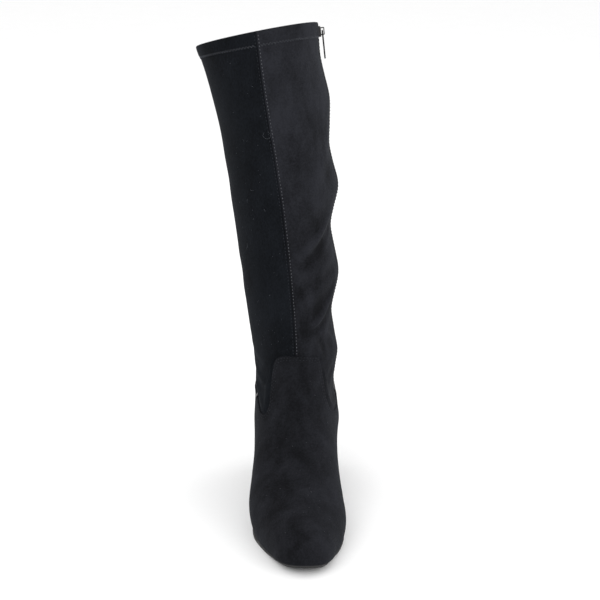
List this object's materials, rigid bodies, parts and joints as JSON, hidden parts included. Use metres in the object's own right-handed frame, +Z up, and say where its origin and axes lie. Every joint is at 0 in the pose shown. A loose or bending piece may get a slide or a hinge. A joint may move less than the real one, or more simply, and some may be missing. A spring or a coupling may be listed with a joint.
{
  "type": "knee-high boot",
  "caption": "Right knee-high boot: suede foot with tongue-shaped top, stretch outer shaft panel, medial zip with a hinged pull, thin sole and covered block heel.",
  "frame": {"origin": "on the floor, under the middle of the heel, on the heel top piece's flat bottom face", "axes": "+Z up; -Y towards the toe; +X towards the inner side of the foot, where the zip is"},
  "size_m": [0.1405, 0.273, 0.472],
  "materials": {
    "suede": "brushed microsuede, charcoal, matt with a soft nap",
    "stretch_velvet": "blue-black stretch velour, matt with a faint sheen",
    "sole_rubber": "moulded black rubber, satin",
    "heel_cover": "heel block covered in the same microsuede",
    "lining": "dark textile lining and insole cover",
    "zip_tape": "black woven polyester tape",
    "zip_teeth": "black nylon coil",
    "gunmetal": "die-cast zinc under black lacquer",
    "trim_metal": "gunmetal plate"
  },
  "bodies": {
    "boot": {"upper": "suede", "shaft_outer_panel": "stretch_velvet", "shaft_inner_front_panel": "suede", "shaft_inner_back_panel": "suede", "outsole": "sole_rubber", "insole": "lining", "heel": "heel_cover", "heel_top_piece": "sole_rubber", "zip_tape": "zip_tape", "zip_teeth": "zip_teeth", "zip_bottom_stop": "gunmetal", "zip_slider": "gunmetal", "ankle_trim": "trim_metal"},
    "pull": {"zip_pull": "gunmetal"}
  },
  "joints": [
    {"name": "pull_hinge", "type": "hinge", "parent": "boot", "child": "pull", "pos_m": [0.0237, -0.00976, 0.4589], "axis": [0.0255, -0.9993, 0.0273], "range_deg": [0, 160]}
  ]
}
